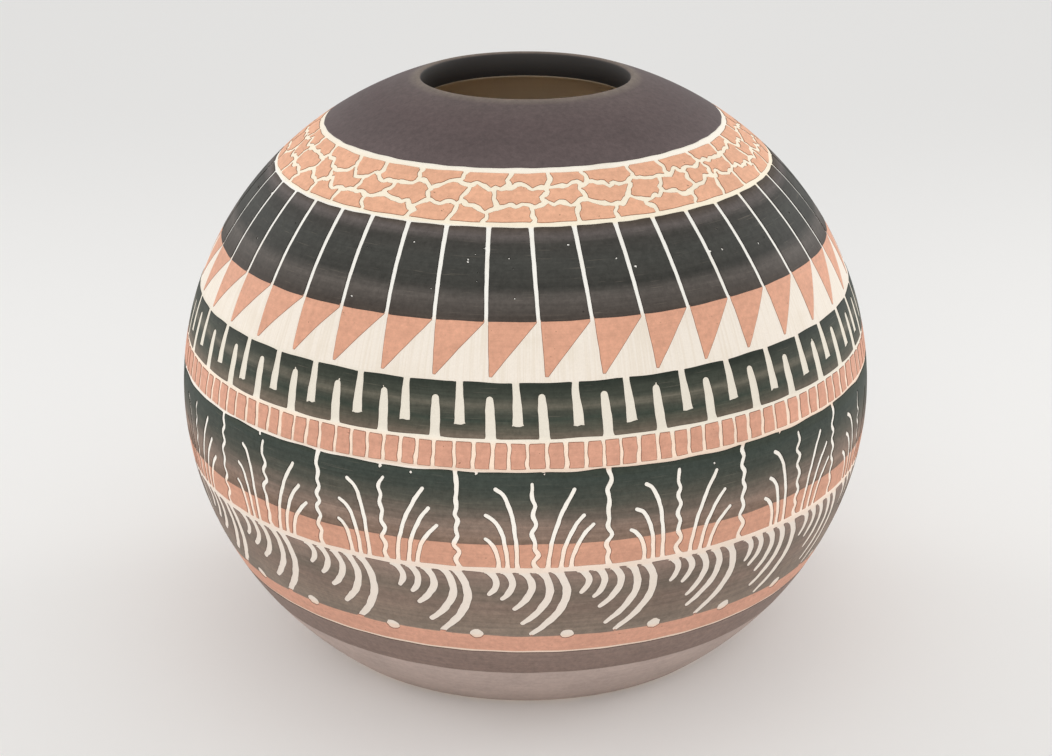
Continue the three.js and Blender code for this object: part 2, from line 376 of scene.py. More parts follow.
def weld_seam(places, corners):
    """Joins the two ends of the sheet at the back of the pot"""
    start = np.flatnonzero(places[:, 0] < -math.pi + SEAM_TOLERANCE * MM)
    end = np.flatnonzero(places[:, 0] > math.pi - SEAM_TOLERANCE * MM)
    target = np.arange(len(places))
    for point in end:
        gaps = np.abs(places[start, 1] - places[point, 1])
        if gaps.min() < SEAM_TOLERANCE:
            target[point] = start[gaps.argmin()]
    corners = target[corners]
    used, corners = np.unique(corners, return_inverse=True)
    return places[used], corners.reshape(-1, 3)


def spread_out(places, outer, reach):
    """The places with the points of the outer edges moved out of the slip by the reach of its walls"""
    scale = float(radius_of(places[:, 1].mean()))
    run = (places[outer[:, 1]] - places[outer[:, 0]]) * (scale, 1)
    run[:, 0] = (run[:, 0] + math.pi * scale) % (FULL_TURN * scale) - math.pi * scale
    out = np.column_stack([run[:, 1], -run[:, 0]]) / np.hypot(*run.T)[:, None]
    shift = np.zeros_like(places)
    np.add.at(shift, outer.ravel(), np.repeat(out, 2, axis=0))
    length = np.maximum(np.hypot(*shift.T), 1e-6)[:, None]
    return places + shift / length * (reach / scale, reach)


def coat(name, low_edge, top_edge, cuts=(), sunk=0.0, reach=WALL_REACH):
    """A band of slip as a closed solid, with its cuts left out"""
    places, corners = cut_sheet(low_edge, top_edge, cuts)
    count = len(places)
    edges = np.concatenate([corners[:, [0, 1]], corners[:, [1, 2]], corners[:, [2, 0]]])
    outer = edges[~np.isin(edges @ (count, 1), edges @ (1, count))]
    top = on_pot(places[:, 0], places[:, 1], sunk)
    low_places = spread_out(places, outer, reach)
    under = on_pot(low_places[:, 0], low_places[:, 1], COAT_DEPTH)
    points = np.concatenate([top, under])
    walls = np.column_stack([outer[:, 1], outer[:, 0], outer[:, 0] + count, outer[:, 1] + count])
    corner = points[walls[:, 0]]
    wall_normals = np.cross(points[walls[:, 1]] - corner, points[walls[:, 3]] - corner)
    wall_normals /= np.linalg.norm(wall_normals, axis=1)[:, None]
    out = outward_on_pot(places[:, 0], places[:, 1])
    normals = np.concatenate([
        out[corners.ravel()],
        -out[corners[:, ::-1].ravel()],
        np.repeat(wall_normals, 4, axis=0),
    ])
    faces = [*corners.tolist(), *(corners[:, ::-1] + count).tolist(), *walls.tolist()]
    piece = add_mesh(name, points, faces, "cut_depth", np.repeat([sunk / COAT_DEPTH, 1.0], count))
    piece.data.normals_split_custom_set(normals.tolist())
    return piece


def ring_mesh(name, rings, closed, share_name, shares):
    """A smooth surface through rings of points, with a share for each ring. A closed one joins its last
    ring to its first, and an open one has a flat face at each end."""
    ring_count, columns = rings.shape[:2]
    faces = []
    for ring in range(ring_count if closed else ring_count - 1):
        here = ring * columns
        there = (ring + 1) % ring_count * columns
        for column in range(columns):
            beside = (column + 1) % columns
            faces.append((here + column, here + beside, there + beside, there + column))
    if not closed:
        faces.append(range(columns)[::-1])
        faces.append(range((ring_count - 1) * columns, ring_count * columns))
    return add_mesh(name, rings.reshape(-1, 3) * MM, faces, share_name, np.repeat(shares, columns))


# The clay, and the coat on the shoulder that runs over the lip

def lip_arc(inset):
    """Points of the rounded lip, from the dome to the mouth wall"""
    points = []
    for step in range(1, LIP_STEPS + 1):
        angle = LIP_START_ANGLE + (math.pi - LIP_START_ANGLE) * step / LIP_STEPS
        reach = LIP_ROUNDING - inset
        points.append((LIP_CENTRE[0] + reach * math.cos(angle), LIP_CENTRE[1] + reach * math.sin(angle)))
    return points


def surface_run(low, top, inset):
    count = int(abs(top - low) / CLAY_ROW_LENGTH) + 1
    return [surface(along, inset) for along in np.linspace(low, top, count + 1)]


def turned_rings(profile):
    """Rings of points round the axis through the radii and heights of a profile"""
    angle = np.linspace(0, FULL_TURN, CLAY_COLUMNS, endpoint=False)
    return np.stack([turned_round(angle, radius, height) for radius, height in profile])


def clay_wall():
    foot_corner = (FOOT_RADIUS - CLAY_INSET, 0)
    foot_flat = (foot_corner[0] - FOOT_ROUNDING, 0)
    foot_edge = surface(WASH_LOW, CLAY_INSET)
    underside = [(foot_flat[0] - FOOT_ROUNDING, 0), *bow(foot_flat, foot_corner, foot_edge)]
    outside = surface_run(WASH_LOW, LIP_START, CLAY_INSET)[1:] + lip_arc(CLAY_INSET)
    inside = surface_run(INSIDE_TOP, INSIDE_LOW, INSIDE_INSET)
    mouth_low = (MOUTH_RADIUS + CLAY_INSET, inside[0][1])
    floor_edge = (inside[-1][0] - FOOT_ROUNDING, BASE_THICKNESS)
    profile = underside + outside + [mouth_low] + inside + [floor_edge]
    inside_from = len(underside) + len(outside)
    shares = np.array([float(ring >= inside_from) for ring in range(len(profile))])
    return ring_mesh("clay_wall", turned_rings(profile), False, "inside", shares)


def shoulder_coat(low_edge):
    """The top coat, from its wavy lower edge up over the lip and down the cut wall of the mouth"""
    angle = np.linspace(0, FULL_TURN, CLAY_COLUMNS, endpoint=False)
    start = askew(angle, low_edge(angle))
    count = int((LIP_START - SHOULDER_LOW) / CLAY_ROW_LENGTH)
    shares = [0, EDGE_ROW / (LIP_START - SHOULDER_LOW), *np.linspace(0, 1, count + 1)[1:]]
    mouth_low = surface(INSIDE_TOP, INSIDE_INSET)[1] + MOUTH_COAT_GAP

    def rings_at(inset):
        rows = [surface(start + (LIP_START - start) * share, inset) for share in shares]
        return [*(turned_round(angle, *row) for row in rows), *turned_rings(lip_arc(inset))]

    wall = turned_rings([(MOUTH_RADIUS, mouth_low), (MOUTH_RADIUS + COAT_DEPTH, mouth_low)])
    outside = [*rings_at(0), wall[0]]
    underside = [wall[1], *rings_at(COAT_DEPTH)[::-1]]
    depths = np.repeat([0.0, 1.0], [len(outside), len(underside)])
    return ring_mesh("shoulder_coat", np.stack(outside + underside), True, "cut_depth", depths)


# Panels between leaning lines, with a cut triangle beside the foot of each

PANEL_COUNT = 41
PANEL_PITCH = 360 / PANEL_COUNT
PANEL_START = 1.8
PANEL_LEAN = 0.045
PANEL_LINE_WIDTHS = [1.15, 0.95, 0.85, 0.75, 0.65]
APEX_WIDTH = 0.5
TRIANGLE_CUT_TOP = TRIANGLE_TOP + 1
TIP_DROPS = (0.1, 0.5)
SLOPE_BOWS = (0.1, 0.5)
TRIANGLE_SWAY = 0.03

# How far cuts run past the edges of their band. Here and below, a spread moves a whole cut and a sway
# moves its points, in degrees.
CUT_RUN_ON = 0.7
PANEL_SPREAD = 0.1
PANEL_LINE_SWAY = 0.02

panel_draw = random.Random(11)
panel_shifts = [panel_draw.gauss(0, PANEL_SPREAD) for _ in range(PANEL_COUNT)]


def line_angle(number, along):
    """Degrees of a panel line, which leans towards +X on its way down"""
    lean = PANEL_LEAN * ((TRIANGLE_TOP + PANEL_TOP) / 2 - along)
    return PANEL_START + number * PANEL_PITCH + panel_shifts[number % PANEL_COUNT] + lean


def to_degrees(width, along):
    """Angle that a width over the surface takes up"""
    return math.degrees(width / float(radius_of(along)))


def panel_cuts():
    draw = random.Random(12)
    cuts = []
    for number in range(PANEL_COUNT):
        stops = np.linspace(PANEL_TOP + CUT_RUN_ON, TRIANGLE_TOP - CUT_RUN_ON, 4)
        points = [(line_angle(number, along) + draw.gauss(0, PANEL_LINE_SWAY), along) for along in stops]
        cuts.append(ribbon(draw, points, PANEL_LINE_WIDTHS, flare=0.3, shake=0.015, uneven=0.03))
    return cuts


def triangle_cuts():
    """Each cut is the right triangle between one slip triangle and the next, up to the panel line"""
    draw = random.Random(13)
    cuts = []
    for number in range(PANEL_COUNT):
        bottom = TRIANGLE_LOW - CUT_RUN_ON
        half = to_degrees(PANEL_LINE_WIDTHS[-1] / 2 + CUT_MARGIN, TRIANGLE_TOP)
        stops = np.linspace(bottom, TRIANGLE_CUT_TOP, 8)
        right = [(line_angle(number, along) + half, along) for along in stops]
        apex = line_angle(number - 1, TRIANGLE_LOW) + half + to_degrees(APEX_WIDTH, TRIANGLE_LOW)
        tip = (line_angle(number, TRIANGLE_TOP) - half, TRIANGLE_TOP - draw.uniform(*TIP_DROPS))
        handle = ((apex + tip[0]) / 2 - draw.uniform(*SLOPE_BOWS), (TRIANGLE_LOW + tip[1]) / 2)
        slope = [*bow(tip, handle, (apex, TRIANGLE_LOW))]
        left = [(tip[0], TRIANGLE_CUT_TOP), *slope, (apex, bottom)]
        outline = np.array([*right, *left])
        outline[:, 0] += [to_degrees(draw.gauss(0, TRIANGLE_SWAY), TRIANGLE_LOW) for _ in outline]
        cuts.append(np.column_stack([np.radians(outline[:, 0]), outline[:, 1]]))
    return cuts


# Key band: fingers hang from its top edge and rise from its bottom edge by turns

KEY_COUNT = 44
KEY_PITCH = 360 / KEY_COUNT
KEY_START = -1.85
FINGER_LEAN = 0.035
FINGER_SPREAD = 0.25
FINGER_SWAY = 0.03
HANGING_ENDS = (96.4, 97.4)
RISING_ENDS = (102.7, 103.4)
HANGING_WIDTHS = [1.35, 1.7, 2.1, 2.35]
RISING_WIDTHS = [2.2, 2.2, 2.15, 2.05, 1.6]

# Some rising fingers have a small nick above their tip
NICK_SHARE = 0.4
NICK_RISE = 1.1
NICK_SIZES = (0.1, 0.3)
NICK_SPREAD = 0.2

# How far the row runs ahead, where it does so most, and how far from there it still does, in degrees
KEY_DRIFT = (3, 40, 55)


def key_angle(number):
    return drifted(KEY_START + number * KEY_PITCH, *KEY_DRIFT)


def key_cuts():
    draw = random.Random(17)
    middle = (KEY_LOW + KEY_TOP) / 2
    cuts = []

    def finger(angle, start, end, widths, **ends):
        turn = angle + draw.gauss(0, FINGER_SPREAD)
        points = []
        for along in np.linspace(start, end, 4):
            points.append((turn + FINGER_LEAN * (middle - along) + draw.gauss(0, FINGER_SWAY), along))
        cuts.append(ribbon(draw, points, widths, shake=0.02, uneven=0.025, **ends))
        return points[-1][0]

    for number in range(KEY_COUNT):
        hanging = key_angle(number)
        rising = (hanging + key_angle(number + 1)) / 2
        finger(hanging, KEY_TOP + CUT_RUN_ON, draw.uniform(*HANGING_ENDS), HANGING_WIDTHS, ragged=0.2)
        end = draw.uniform(*RISING_ENDS)
        tip = finger(rising, KEY_LOW - CUT_RUN_ON, end, RISING_WIDTHS, flare=1.0, round_end=True)
        if draw.random() < NICK_SHARE:
            radius = draw.uniform(*NICK_SIZES)
            angle = tip + draw.gauss(0, NICK_SPREAD)
            cuts.append(blob(draw, angle, end + NICK_RISE, radius, uneven=0.4, corners=8))
    return cuts


# Row of bricks

BRICK_COUNT = 132
BRICK_PITCH = 360 / BRICK_COUNT
BRICK_START = 0.5
BRICK_SPREAD = 0.15
BRICK_LINE_SWAY = 0.07
BRICK_LINE_WIDTHS = (0.55, 0.95)
BRICK_LINE_TAPER = (1, 0.9, 1.1, 1)


def brick_cuts():
    draw = random.Random(19)
    cuts = []
    for number in range(BRICK_COUNT):
        angle = BRICK_START + number * BRICK_PITCH + draw.gauss(0, BRICK_SPREAD)
        stops = np.linspace(BRICK_TOP + CUT_RUN_ON, BRICK_LOW - CUT_RUN_ON, 5)
        points = [(angle + draw.gauss(0, BRICK_LINE_SWAY), along) for along in stops]
        width = draw.uniform(*BRICK_LINE_WIDTHS)
        widths = [width * share for share in BRICK_LINE_TAPER]
        cuts.append(ribbon(draw, points, widths, flare=0.5, uneven=0.12))
    return cuts


# Mosaic of irregular stones in three rows. The lines between the rows peak at the joints, turn every so
# many degrees, and keep a share of each turn's sway in the next.

TOP_ROW_JOINTS = 33
LOWER_ROW_JOINTS = 38
TOP_START, MIDDLE_START, BOTTOM_START = -180, -176, -178.5
UPPER_LINE, LOWER_LINE = 153.3, 148.4
LINE_PEAK, LINE_JITTER = 0.75, 0.62
LINE_TURN = 1.15
SWAY_KEPT = 0.35
LINE_WIDTHS = (0.7, 1.3)
JOINT_WIDTHS = (0.75, 1.2)
JOINT_SPREAD = 1.5
JOINT_SLANT = 1.8
JOINT_TURNS = 5
JOINT_JITTER = 0.4
JOINTS_APART = 2.5


def joint_angles(draw, count, start):
    even = [start + 360 * number / count for number in range(count)]
    return [angle + draw.uniform(-JOINT_SPREAD, JOINT_SPREAD) for angle in even]


def wandering_line(draw, along, above, below):
    """A line that peaks at the joints above it and dips at those below it, with small turns between"""
    corners = [(angle, along + LINE_PEAK) for angle in above]
    for angle in below:
        if min(abs(angle - other) for other in above) > JOINTS_APART:
            corners.append((angle, along - LINE_PEAK))
    corners.sort()
    corners.append((corners[0][0] + 360, corners[0][1]))
    line = []
    sway = 0
    for (angle, height), (next_angle, next_height) in zip(corners, corners[1:]):
        turns = max(int((next_angle - angle) / LINE_TURN), 1)
        for turn in range(turns):
            share = turn / turns
            sway = SWAY_KEPT * sway + draw.gauss(0, LINE_JITTER)
            level = height + (next_height - height) * share
            line.append((angle + (next_angle - angle) * share, level + sway))
    return line


def mosaic_cuts():
    draw = random.Random(29)
    tops = joint_angles(draw, TOP_ROW_JOINTS, TOP_START)
    middles = joint_angles(draw, LOWER_ROW_JOINTS, MIDDLE_START)
    bottoms = joint_angles(draw, LOWER_ROW_JOINTS, BOTTOM_START)
    upper = wandering_line(draw, UPPER_LINE, tops, middles)
    lower = wandering_line(draw, LOWER_LINE, middles, bottoms)
    cuts = []
    for line in (upper, lower):
        closed = [*line, (line[0][0] + 360, line[0][1]), (line[1][0] + 360, line[1][1])]
        for start in range(0, len(closed) - 1, LINE_PIECE):
            piece = closed[start:start + LINE_PIECE + 1]
            if len(piece) > 1:
                widths = [draw.uniform(*LINE_WIDTHS) for _ in piece]
                ends = {"round_start": True, "round_end": True}
                cuts.append(ribbon(draw, piece, widths, uneven=0.15, smooth=False, **ends))

    def height_on(line, angle):
        places = np.array(line)
        return float(np.interp(angle, places[:, 0], places[:, 1], period=360))

    def joint(angle, top, low):
        slant = draw.uniform(-JOINT_SLANT, JOINT_SLANT)
        points = []
        for share in np.linspace(0, 1, JOINT_TURNS):
            shake = draw.gauss(0, JOINT_JITTER) if share else 0
            points.append((angle + slant * (share - 1) + shake, top + (low - top) * share))
        widths = [draw.uniform(*JOINT_WIDTHS) for _ in points]
        cuts.append(ribbon(draw, points, widths, round_end=True, uneven=0.15, smooth=False))

    for angle in tops:
        joint(angle, MOSAIC_TOP + CUT_RUN_ON, height_on(upper, angle))
    for angle in middles:
        joint(angle, height_on(upper, angle), height_on(lower, angle))
    for angle in bottoms:
        joint(angle, height_on(lower, angle), MOSAIC_LOW - CUT_RUN_ON)
    return cuts


# Fans of grass blades, with a long wavy stalk between them

FAN_COUNT = 16
FAN_PITCH = 360 / FAN_COUNT
FAN_START = 1.4
STALK_START = -10.1
BLADE_BASE = UPPER_STRIPE_LOW - CUT_RUN_ON
FAN_SPREAD = 0.25

# A short stalk stands in each fan and leans by some degrees to the millimetre. All stalks rise in steps
# and swing by some degrees at each.
SHORT_STALK_TOPS = (83.2, 84.8)
SHORT_STALK_LEAN = -0.02
STALK_STEPS = (1.5, 2.8)
STALK_SWINGS = (0.05, 0.45)
STALK_SPREAD = 0.3
STALK_TIP_SHIFTS = (-0.2, 0.5)
SHORT_STALK_WIDTHS = [1.0, 0.95, 0.95, 0.9, 0.7]
LONG_STALK_WIDTHS = [1.0, 0.95, 0.95, 0.95, 1.0]

# Each blade's foot and tip in degrees from the middle of its fan, the along of its tip, and the share
# of its rise at which it bends
BLADES = [
    (-2.7, -6.0, 81.7, 0.92),
    (-4.2, -6.9, 76.0, 0.9),
    (-5.6, -7.7, 71.4, 0.85),
    (2.0, 5.7, 82.0, 0.55),
    (3.7, 7.4, 77.2, 0.6),
    (5.2, 8.3, 73.3, 0.6),
]
BLADE_WIDTHS = [0.85, 0.82, 0.88, 0.9, 0.8]
BLADE_TILT = 0.05
FOOT_SPREAD = 0.12
TIP_SPREADS = (0.25, 0.5)


def wavy_stalk(draw, angle, top, widths, lean, **ends):
    stops = [BLADE_BASE]
    while stops[-1] < top - STALK_STEPS[0]:
        stops.append(stops[-1] + draw.uniform(*STALK_STEPS))
    swings = [(-1) ** number * draw.uniform(*STALK_SWINGS) for number in range(len(stops))]
    points = []
    for swing, along in zip(swings, stops[:-1]):
        points.append((angle + swing + lean * (along - BLADE_BASE), along))
    points.append((angle + lean * (top - BLADE_BASE) + draw.uniform(*STALK_TIP_SHIFTS), top))
    return ribbon(draw, points, widths, flare=0.7, shake=0.08, uneven=0.1, **ends)


def grass_cuts():
    draw = random.Random(31)
    cuts = []
    for number in range(FAN_COUNT):
        middle = FAN_START + number * FAN_PITCH + draw.gauss(0, FAN_SPREAD)
        top = draw.uniform(*SHORT_STALK_TOPS)
        cuts.append(wavy_stalk(draw, middle, top, SHORT_STALK_WIDTHS, SHORT_STALK_LEAN, round_end=True))
        for foot, tip, tip_along, bend in BLADES:
            start = (middle + foot + draw.gauss(0, FOOT_SPREAD), BLADE_BASE)
            end = astray(draw, middle + tip, tip_along, TIP_SPREADS)
            handle = (start[0] + BLADE_TILT * (end[0] - start[0]), start[1] + bend * (end[1] - start[1]))
            cuts.append(ribbon(draw, bow(start, handle, end), BLADE_WIDTHS, flare=0.8, round_end=True))
        stalk = STALK_START + number * FAN_PITCH + draw.gauss(0, STALK_SPREAD)
        cuts.append(wavy_stalk(draw, stalk, GRASS_TOP + CUT_RUN_ON, LONG_STALK_WIDTHS, 0.0))
    return cuts


# Feather strokes hang from the ring in clusters that grow longer towards +X, with a dot under each gap

CLUSTER_COUNT = 25
CLUSTER_PITCH = 360 / CLUSTER_COUNT
CLUSTER_START = 2.2
CLUSTER_SPREAD = 0.25
DOT_SHIFT = 2.6
DOT_ALONG = 41.2
DOT_RADIUS = 1.6
DOT_SIZES = (0.9, 1.08)
DOT_SPREADS = (0.4, 0.25)

# Start and end of each stroke in degrees from the start of the last one, the along of its end, the
# handle of its bow and its width
FEATHER_STROKES = [
    (-10.2, -9.5, 55.4, 2.8, 1.55),
    (-7.7, -7.6, 53.7, 3.0, 1.6),
    (-5.1, -6.3, 50.3, 3.6, 1.7),
    (-2.4, -4.9, 45.4, 4.1, 1.8),
    (0.0, -3.3, 41.5, 4.8, 1.9),
]
FEATHER_TAPER = (0.85, 0.95, 1.0, 1.0, 0.9, 0.68)
FEATHER_BEND = 0.42
START_SPREAD = 0.12
END_SPREADS = (0.3, 0.4)

# The clusters run ahead as the key's fingers do
CLUSTER_DRIFT = (2.3, 8, 60)


def cluster_angle(number):
    return drifted(CLUSTER_START + number * CLUSTER_PITCH, *CLUSTER_DRIFT)


def feather_cuts():
    draw = random.Random(37)
    cuts = []
    for number in range(CLUSTER_COUNT):
        last = cluster_angle(number) + draw.gauss(0, CLUSTER_SPREAD)
        for start_shift, end_shift, end_along, handle_shift, width in FEATHER_STROKES:
            start = (last + start_shift + draw.gauss(0, START_SPREAD), FEATHER_TOP + CUT_RUN_ON)
            end = astray(draw, last + end_shift, end_along, END_SPREADS)
            handle = (start[0] + handle_shift, start[1] + FEATHER_BEND * (end[1] - start[1]))
            widths = [width * share for share in FEATHER_TAPER]
            cuts.append(ribbon(draw, bow(start, handle, end, 9), widths, flare=0.7, round_end=True))
    return cuts


def dot_cuts():
    draw = random.Random(41)
    cuts = []
    for number in range(CLUSTER_COUNT):
        angle = cluster_angle(number) + DOT_SHIFT + draw.gauss(0, DOT_SPREADS[0])
        radius = DOT_RADIUS * draw.uniform(*DOT_SIZES)
        cuts.append(blob(draw, angle, DOT_ALONG + draw.gauss(0, DOT_SPREADS[1]), radius))
    return cuts


def chips(seed, count, low, top, size, middle=0, reach=180):
    """Specks where slip has chipped off, within a reach in degrees on each side of a middle"""
    draw = random.Random(seed)
    cuts = []
    for _ in range(count):
        angle = middle + draw.uniform(-reach, reach)
        along = draw.uniform(low, top)
        cuts.append(blob(draw, angle, along, draw.uniform(0, 1) * size, uneven=0.45, corners=7))
    return cuts


# Finishes

def paint(red, green, blue):
    """Linear colour from the 0 to 255 values that a screen shows"""
    shares = [part / 255 for part in (red, green, blue)]
    return (*(part / 12.92 if part < 0.04 else ((part + 0.055) / 1.055) ** 2.4 for part in shares), 1.0)


# Tone of the cut clay from each height up: pinker inside the salmon bands, duller in the broad cuts and
# palest in the fine lines
CUT_TONES = [
    (0, (240, 217, 198)),
    (LOWER_STRIPE_TOP, (237, 225, 213)),
    (FEATHER_TOP, (242, 223, 207)),
    (UPPER_STRIPE_LOW, (255, 235, 217)),
    (UPPER_STRIPE_TOP, (253, 247, 237)),
    (GRASS_TOP, (238, 215, 196)),
    (BRICK_LOW, (255, 231, 209)),
    (BRICK_TOP, (245, 236, 220)),
    (KEY_LOW, (234, 226, 211)),
    (KEY_TOP, (242, 232, 219)),
    (TRIANGLE_TOP, (250, 247, 239)),
    (PANEL_TOP, (253, 242, 219)),
    (MOSAIC_TOP, (255, 248, 234)),
]
TONE_STEP = 0.3

CLAY_WARM = paint(226, 212, 192)
CLAY_INSIDE = paint(253, 236, 210)
CLAY_INSIDE_DARK = paint(243, 223, 196)
SCRATCH_TONE = paint(150, 138, 124)
SPECK_TONE = paint(120, 84, 62)

# The coat is darker inside the mouth, and changes over this width of the lip
MOUTH_SHADE = paint(62, 59, 57)
LIP_SHADE = 0.25

# What the slip is multiplied by in the rim of painted shade along the cuts, and the shares of the coats'
# depth over which that rim sets in and gives way to clay
RIM_SHADOW_TONE = (0.36, 0.3, 0.27, 1.0)
SHADE_RIM_STARTS = (0.11, 0.15)
BARE_STEP = 0.06

# Noise levels over which each mark sets in, and the strength of the clay's marks
SCRATCH_LEVELS = (0.7, 0.76)
SPECK_LEVELS = (0.76, 0.8)
CLAY_CLOUD_LEVELS, CLAY_CLOUD_STRENGTH = (0.5, 0.7), 0.2
HATCH_LEVELS, HATCH_STRENGTH = (0.45, 0.65), 0.35

# How much the slip's roughness varies, and the clay's shine
SLIP_ROUGHNESS_RANGE = 0.22
CLAY_ROUGHNESS, CLAY_ROUGHNESS_RANGE = 0.78, 0.15
CLAY_SPECULAR = 0.25

# Sockets of the mix node's colours
MIX_FIRST, MIX_SECOND, MIX_RESULT = 6, 7, 2


class Finish:
    """A node material, with the places on the pot that its patterns are drawn from"""

    def __init__(self, name):
        self.material = bpy.data.materials.new(name)
        self.material.use_nodes = True
        self.nodes = self.material.node_tree.nodes
        self.links = self.material.node_tree.links
        self.shader = self.nodes["Principled BSDF"]
        self.place = self.make("TexCoord", "Object", {})
        self.height = self.make("SeparateXYZ", "Z", {0: self.place})

    def feed(self, socket, value):
        if isinstance(value, bpy.types.NodeSocket):
            self.links.new(value, socket)
        else:
            socket.default_value = value

    def shade(self, color, roughness, specular, relief):
        names = ("Base Color", "Roughness", "Specular IOR Level", "Normal")
        for name, value in zip(names, (color, roughness, specular, relief)):
            self.feed(self.shader.inputs[name], value)

    def make(self, kind, output, values, **settings):
        """A node with these settings and inputs, as one of its outputs"""
        node = self.nodes.new("ShaderNode" + kind)
        for name, value in settings.items():
            setattr(node, name, value)
        for name, value in values.items():
            self.feed(node.inputs[name], value)
        return node.outputs[output]

    def math(self, operation, first, second=0.0):
        return self.make("Math", "Value", {0: first, 1: second}, operation=operation)

    def vector_math(self, operation, first, second=(0, 0, 0), output="Vector"):
        return self.make("VectorMath", output, {0: first, 1: second}, operation=operation)

    def attribute(self, name):
        return self.make("Attribute", "Fac", {}, attribute_name=name)

    def spread(self, value, low, top, start=0.0, end=1.0):
        """The value's share of a range, as a soft step from start to end"""
        values = dict(enumerate((value, low, top, start, end)))
        return self.make("MapRange", "Result", values, interpolation_type="SMOOTHSTEP")

    def noise(self, grain, detail=2.0, roughness=0.5, place=None):
        """Noise whose grain has these sizes in millimetres along X, Y and Z"""
        scale = [1 / (size * MM) for size in grain]
        scaled = self.make("Mapping", "Vector", {"Vector": place or self.place, "Scale": scale})
        values = {"Vector": scaled, "Scale": 1, "Detail": detail, "Roughness": roughness}
        return self.make("TexNoise", "Fac", values)

    def level_place(self):
        """The place without its height"""
        return self.vector_math("MULTIPLY", self.place, (1, 1, 0))

    def from_axis(self):
        """Distance from the pot's axis"""
        return self.vector_math("LENGTH", self.level_place(), output="Value")

    def around(self):
        """The place moved straight out to the belly's radius, so that a pattern can run up and down"""
        direction = self.vector_math("NORMALIZE", self.level_place())
        moved_out = self.vector_math("MULTIPLY", direction, [BELLY_RADIUS * MM] * 3)
        return self.vector_math("ADD", moved_out, self.vector_math("MULTIPLY", self.place, (0, 0, 1)))

    def mix(self, share, first, second, blend="MIX"):
        values = {"Factor": share, MIX_FIRST: first, MIX_SECOND: second}
        return self.make("Mix", MIX_RESULT, values, data_type="RGBA", blend_type=blend)

    def by_height(self, stops, drift=0.0):
        """Colour by the distance up the surface, through a few screen tones whose places drift"""
        low, top = (float(height_of(along)) * MM for along in (stops[0][0], stops[-1][0]))
        height = self.height
        if drift:
            sway = self.math("SUBTRACT", self.noise((26, 26, 2.4), detail=4, roughness=0.65), 0.5)
            height = self.math("ADD", height, self.math("MULTIPLY", sway, 2 * drift * MM))
        share = self.math("DIVIDE", self.math("SUBTRACT", height, low), top - low)
        node = self.nodes.new("ShaderNodeValToRGB")
        self.feed(node.inputs["Fac"], share)
        elements = node.color_ramp.elements
        while len(elements) < len(stops):
            elements.new(0.5)
        for element, (along, tone) in zip(elements, stops):
            element.position = (float(height_of(along)) * MM - low) / (top - low)
            element.color = paint(*tone)
        return node.outputs["Color"]

    def scaled(self, color, share, strength):
        """The colour made lighter and darker by a noise share"""
        gain = self.math("ADD", self.math("MULTIPLY", self.math("SUBTRACT", share, 0.5), strength), 1.0)
        return self.vector_math("MULTIPLY", color, gain)

    def bump(self, height, distance, strength, normal=None):
        values = {"Height": height, "Distance": distance * MM, "Strength": strength}
        if normal is not None:
            values["Normal"] = normal
        return self.make("Bump", "Normal", values)


def cut_stops():
    """Stops that change the tone of the cut clay in a short step at each height"""
    stops = [CUT_TONES[0]]
    for (_, before), (along, tone) in zip(CUT_TONES, CUT_TONES[1:]):
        stops += [(along - TONE_STEP, before), (along + TONE_STEP, tone)]
    return [*stops, (LIP_START, CUT_TONES[-1][1])]


def slip(name, stops, streak=0.25, mottle=0.12, grit=1.2, drift=0.0, scratches=0.0, specks=0.0,
         roughness=0.62, specular=0.35, reach=WALL_REACH, mouth_tone=None):
    """Brushed slip: streaks round the pot, cloudy thickness, fine grain, scratches and specks, and a rim of
    painted shade round its cuts with clay below it"""
    finish = Finish(name)
    streaks = finish.noise((70, 70, 0.9), detail=4, roughness=0.6)
    fine_streaks = finish.noise((25, 25, 0.35))
    clouds = finish.noise((14, 14, 9), detail=3)
    grain = finish.noise((1.5, 1.5, 1.5), detail=6, roughness=0.8)
    color = finish.by_height(stops, drift)
    color = finish.scaled(color, streaks, streak * 2)
    color = finish.scaled(color, fine_streaks, streak)
    color = finish.scaled(color, clouds, mottle * 2)
    color = finish.scaled(color, grain, grit)
    if mouth_tone:
        outside = finish.spread(finish.from_axis(), MOUTH_RADIUS * MM, (MOUTH_RADIUS + LIP_SHADE) * MM)
        color = finish.mix(outside, mouth_tone, color)
    if scratches:
        scratch = finish.spread(finish.noise((9, 9, 0.16), detail=1), *SCRATCH_LEVELS)
        color = finish.mix(finish.math("MULTIPLY", scratch, scratches), color, SCRATCH_TONE)
    if specks:
        speck = finish.spread(finish.noise((0.9, 0.9, 0.7), detail=1), *SPECK_LEVELS)
        color = finish.mix(finish.math("MULTIPLY", speck, specks), color, SPECK_TONE)
    depth = finish.attribute("cut_depth")
    # Painted shade: the top of each cut's wall is darkened as if in shadow, with the clay's tone below it
    rim = finish.mix(1.0, color, RIM_SHADOW_TONE, "MULTIPLY")
    color = finish.mix(finish.spread(depth, *SHADE_RIM_STARTS), color, rim)
    rim_depth = SHADE_RIM_DEPTH / reach
    bared = finish.spread(depth, rim_depth, rim_depth + BARE_STEP)
    color = finish.mix(bared, color, finish.by_height(cut_stops()))
    uneven = finish.math("MULTIPLY", streaks, SLIP_ROUGHNESS_RANGE)
    rough = finish.math("ADD", uneven, roughness - SLIP_ROUGHNESS_RANGE / 2)
    relief = finish.bump(fine_streaks, distance=0.05, strength=0.5)
    relief = finish.bump(grain, distance=0.04, strength=0.6, normal=relief)
    finish.shade(color, rough, specular, relief)
    return finish.material


